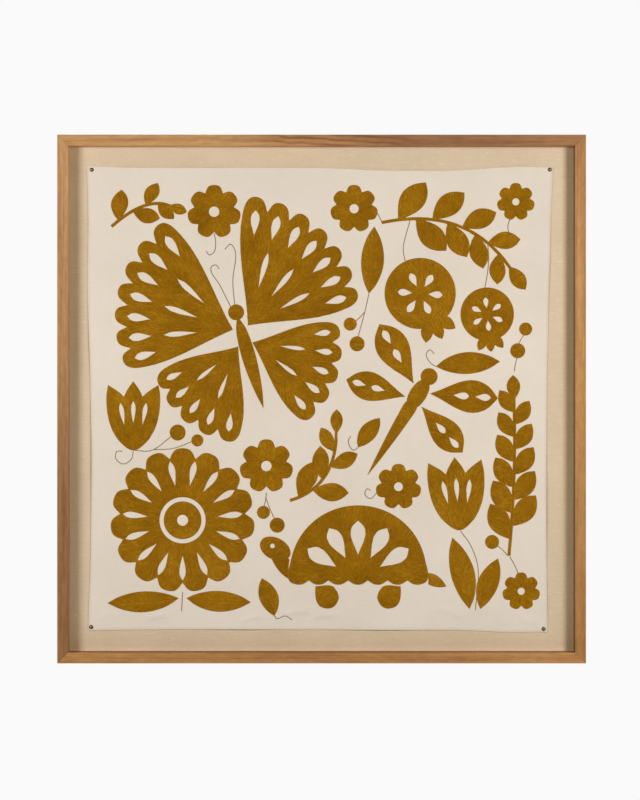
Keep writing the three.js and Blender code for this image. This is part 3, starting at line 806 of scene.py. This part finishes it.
def fieldSections(name, loops):
    plan = next(fieldPlan[k] for k in sorted(fieldPlan, key=len, reverse=True) if name.startswith(k))
    outer = loops[0]
    axis = longAxis(outer)
    if plan["lay"] == "wing":
        return wingSections(outer, plan["parts"])
    if plan["lay"] == "round":
        return fanSections(midpoint(name), plan["parts"], math.pi / 2, math.pi * 5 / 2)  # once round
    if plan["lay"] == "dome":
        low, high = outer.min(0), outer.max(0)
        apex = np.array([(low[0] + high[0]) / 2, low[1] - domeDrop])
        return fanSections(apex, plan["parts"], 0, math.pi)
    if plan["lay"] == "leaf":
        middle = outer.mean(0)
        splay = math.radians(plan["splay"])
        return [(axis + splay, [halfPlane(middle, axis + math.pi / 2)]),
                (axis - splay, [halfPlane(middle, axis - math.pi / 2)])]
    if plan["lay"] == "spray":
        return spraySections(plan["stem"], plan["parts"], plan["splay"])
    return [(axis + math.pi / 2, [])]


def threadPiece(name, verts, faces, mats, shades=None):
    mesh = bpy.data.meshes.new(name)
    mesh.from_pydata(verts.tolist(), [], faces)
    for mat in mats:
        mesh.materials.append(mat)
    if shades is not None:
        mesh.polygons.foreach_set("material_index", shades.astype(np.int32))
    mesh.polygons.foreach_set("use_smooth", np.ones(len(mesh.polygons), dtype=bool))
    piece = bpy.data.objects.new(name, mesh)
    scene.collection.objects.link(piece)
    return piece


tonePlan = {  # steps in the list of thread colours
    "middle": 3, "section": 0.25, "strand": 0.5, "patch": 0.8, "speck": 0.65,
    "along": [-0.6, 0.1, 0.1, -0.6],  # painted shade: darker where a strand dips into the cloth
}


def patchTone(x, z):  # slow light and dark patches over the whole design
    slow = np.sin(x * 41 + 2 * np.sin(z * 23)) * np.sin(z * 37 + 1.5 * np.sin(x * 29 + 1))
    slow += 0.7 * np.sin(x * 97 + 3 * np.sin(z * 61 + 2)) * np.sin(z * 89 + 2)
    return slow + 0.8 * np.sin(x * 243 + 3 * np.sin(z * 157 + 1)) * np.sin(z * 219 + 3 * np.sin(x * 131))


def strandShades(tones):
    parts = tones[:, None] + rng.normal(0, tonePlan["speck"], (len(tones), 4)) + tonePlan["along"]
    return np.tile(np.clip(np.round(parts), 0, len(threadMats) - 1), 3).ravel()


stitchCount = 0
for name in [n for n in nodes if n.startswith(tuple(fieldPlan))]:
    loops = [softened(p) for p in frontLoops(nodes[name])]
    starts, ends, tones = [], [], []
    for angle, limits in fieldSections(name, loops):
        a, b = layRows(loops, angle, limits)
        starts.append(a)
        ends.append(b)
        sectionTone = tonePlan["middle"] + rng.normal(0, tonePlan["section"])
        tone = sectionTone + rng.normal(0, tonePlan["strand"], len(a))
        tones.append(tone + tonePlan["patch"] * patchTone(a[:, 0], a[:, 1]))
    starts, ends, tones = np.concatenate(starts), np.concatenate(ends), np.concatenate(tones)
    stitchCount += len(starts)
    verts, faces = strands(starts, ends, threadPlan["width"], threadPlan["high"])
    padVerts, padFaces = underlay(loops)
    rimVerts, rimFaces = edging(loops, threadPlan["width"], threadPlan["high"])
    padShades = np.full(len(padFaces), padPlan["shade"])
    rimShades = np.full(len(rimFaces), edgePlan["shade"])
    shades = np.concatenate([strandShades(tones), padShades, rimShades])
    faces += [tuple(v + len(verts) for v in f) for f in padFaces]
    faces += [tuple(v + len(verts) + len(padVerts) for v in f) for f in rimFaces]
    verts = np.concatenate([verts, padVerts, rimVerts])
    piece = threadPiece(name + "_stitches", verts, faces, threadMats, shades)
    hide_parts(name)
    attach(piece, "root")
print("stitches", stitchCount)

# thin stitched lines: stalks, feelers and curls
print("lines")
linePlan = {
    "width": 1.5 * mm, "high": 0.6 * mm, "step": 3.8 * mm, "lap": 0.12, "slip": 0.3 * mm, "smooth": 30,
    "shader": {"Base Color": paint(150, 114, 62), "Roughness": 0.8, "Specular IOR Level": 0.1},
    "runs": [  # mm from the middle
        [(-176, 190), (-180, 240), (-174, 292), (-184, 314), (-196, 304)],
        [(-184, 186), (-206, 230), (-222, 254), (-224, 268), (-214, 272), (-208, 264)],
        [(282, -268), (304, -300), (318, -350), (312, -428)],
        [(-382, -105), (-386, -122), (-402, -132), (-417, -122), (-416, -107), (-404, -106)],
        [(-282, -392), (-284, -430)],
        [(-380, -104), (-344, -104), (-306, -77)],
        [(-340, -103), (-300, -100), (-262, -86)],
        [(-112, -190), (-114, -206), (-117, -218)],
        [(-113, -200), (-106, -220), (-96, -242)],
        [(-218, 336), (-215, 320), (-217, 300), (-228, 292), (-234, 300)],
        [(112, 380), (122, 360)],
        [(96, 214), (88, 178), (73, 122)],
        [(87, 176), (78, 166), (66, 155)],
        [(170, 277), (166, 310), (180, 364)],
        [(331, 225), (336, 252), (339, 285), (337, 318)],
        [(391, 56), (393, 70), (397, 85)],
        [(399, 110), (404, 120), (411, 131)],
        [(378, -318), (366, -305), (357, -298)],
        [(399, -354), (391, -336), (382, -320)],
        [(112, -190), (100, -202), (88, -194), (92, -182), (100, -186)],
        [(384, 368), (378, 352), (380, 336)],
        [(-96, -438), (-90, -446), (-74, -440), (-60, -448)],
        [(74, -98), (66, -104), (58, -98), (54, -84), (60, -76)],
        [(232, 66), (220, 74), (212, 90), (220, 100), (228, 92)],
    ],
}


def threadLine(points):  # short strands along a smooth curve through the points
    p = np.array(points, float) * mm
    ghost = np.concatenate([[2 * p[0] - p[1]], p, [2 * p[-1] - p[-2]]])
    f = np.linspace(0, 1, linePlan["smooth"], endpoint=False)[:, None]
    path = np.concatenate([
        0.5 * (2 * b + (c - a) * f + (2 * a - 5 * b + 4 * c - d) * f**2 + (3 * b - a - 3 * c + d) * f**3)
        for a, b, c, d in zip(ghost, ghost[1:], ghost[2:], ghost[3:])] + [p[-1:]])
    gone = np.concatenate([[0], np.cumsum(np.linalg.norm(np.diff(path, axis=0), axis=1))])
    marks = np.linspace(0, gone[-1], max(2, round(gone[-1] / linePlan["step"]) + 1))
    spots = np.stack([np.interp(marks, gone, path[:, 0]), np.interp(marks, gone, path[:, 1])], 1)
    way = spots[1:] - spots[:-1]
    slip = np.stack([-way[:, 1], way[:, 0]], 1) / np.linalg.norm(way, axis=1)[:, None] * linePlan["slip"]
    return spots[:-1] - way * linePlan["lap"] - slip, spots[1:] + way * linePlan["lap"] + slip


pairs = [threadLine(run) for run in linePlan["runs"]]
starts, ends = (np.concatenate(points) for points in zip(*pairs))
verts, faces = strands(starts, ends, linePlan["width"], linePlan["high"])
lines = threadPiece("stitched_lines", verts, faces, [newMaterial("line_thread", linePlan["shader"])[0]])
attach(lines, "root")

# loose threads along the raw edges
print("loose threads")
frayPlan = {
    "count": 900, "width": 0.45 * mm, "high": 0.25 * mm, "root": 1 * mm, "reach": 1.1 * mm, "drift": 1.2 * mm,
    "shader": {"Base Color": paint(233, 222, 206), "Roughness": 0.9},
}
where = rng.uniform(0, 1, frayPlan["count"])
side = rng.integers(0, 4, frayPlan["count"])
starts, ends = [], []
for f, s in zip(where, side):
    edge = (rimBottom, rimRight, rimTop, rimLeft)[s]
    axis = 0 if s in (0, 2) else 1
    spot = edge[0, axis] + f * (edge[-1, axis] - edge[0, axis])
    place = np.interp(spot, edge[:, axis], edge[:, 1 - axis])
    outward = -1 if s in (0, 3) else 1
    inner = place - outward * frayPlan["root"]
    reach = place + outward * abs(rng.normal(0, frayPlan["reach"]))
    drift = rng.normal(0, frayPlan["drift"])
    starts.append((spot, inner) if axis == 0 else (inner, spot))
    ends.append((spot + drift, reach) if axis == 0 else (reach, spot + drift))
verts, faces = strands(np.array(starts), np.array(ends), frayPlan["width"], frayPlan["high"])
loose = threadPiece("loose_threads", verts, faces, [newMaterial("loose_thread", frayPlan["shader"])[0]])
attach(loose, "root")

for piece, node, slot in ((cloth, "textile", "cotton"), (linen, "linen", "linen")):
    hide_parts(node)
    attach(piece, "root")

# brass nails at the corners
print("nails")
nailPlan = {
    "radius": 4.1 * mm, "dome": 2.5 * mm, "skirt": 1.06, "proud": 0.5 * mm,
    "shank": 0.9 * mm, "long": 12 * mm, "overlap": 0.2 * mm,
    "sides": 32, "rows": 20, "shankSides": 16, "smooth": 40,
    "shader": {"Metallic": 1, "Roughness": 0.42},
    "tarnish": [(0.35, paint(128, 112, 84)), (0.65, paint(168, 148, 112))],
    "crownAndShadedRim": [(0.7, (0.2, 0.18, 0.15, 1)), (0.9, white)],  # partly polished brass on the crown, partly painted shade: the rim is made far darker
    "pits": {"stretch": (700, 700, 700), "strength": 0.4, "depth": 0.3 * mm},
}


def brassMaterial(plan):
    mat, tree, shader = newMaterial("aged_brass", plan["shader"])
    pits = newNoise(tree, objectSpot(tree), plan["pits"]["stretch"], 3)
    color = newRamp(tree, pits, plan["tarnish"])
    color = shadeBy(tree, color, 1.0, ownMap(tree)["Y"], plan["crownAndShadedRim"])
    tree.links.new(color, shader.inputs["Base Color"])
    addBump(tree, shader, pits, plan["pits"]["strength"], plan["pits"]["depth"])
    return mat


brass = brassMaterial(nailPlan)
towardsWall = (math.radians(90), 0, 0)
for name in [n for n in nodes if n.startswith("nail_")]:
    low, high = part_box(name)
    x, z, tip = (low.x + high.x) / 2, (low.z + high.z) / 2, low.y + nailPlan["proud"]
    foot = tip + nailPlan["dome"]
    bpy.ops.mesh.primitive_uv_sphere_add(
        segments=nailPlan["sides"], ring_count=nailPlan["rows"], radius=nailPlan["radius"],
        location=(x, foot, z), rotation=towardsWall)
    head = bpy.context.object
    head.name = name + "_brass"
    head.scale = (1, 1, nailPlan["dome"] / nailPlan["radius"])
    bpy.ops.object.transform_apply(location=True, rotation=True, scale=True)
    bpy.ops.object.mode_set(mode="EDIT")
    bpy.ops.mesh.select_all(action="SELECT")
    bpy.ops.mesh.bisect(
        plane_co=(x, tip + nailPlan["dome"] * nailPlan["skirt"], z), plane_no=(0, 1, 0),
        use_fill=True, clear_outer=True)
    bpy.ops.object.mode_set(mode="OBJECT")
    bpy.ops.mesh.primitive_cylinder_add(
        vertices=nailPlan["shankSides"], radius=nailPlan["shank"], depth=nailPlan["long"],
        location=(x, foot + nailPlan["long"] / 2 - nailPlan["overlap"], z), rotation=towardsWall)
    shank = bpy.context.object
    bpy.ops.object.transform_apply(location=True, rotation=True, scale=True)
    bpy.ops.object.select_all(action="DESELECT")
    shank.select_set(True)
    head.select_set(True)
    bpy.context.view_layer.objects.active = head
    bpy.ops.object.join()
    bpy.ops.object.shade_smooth_by_angle(angle=math.radians(nailPlan["smooth"]))
    head.data.materials.append(brass)
    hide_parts(name)
    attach(head, "root")
    bpy.ops.object.select_all(action="DESELECT")

print("finish")
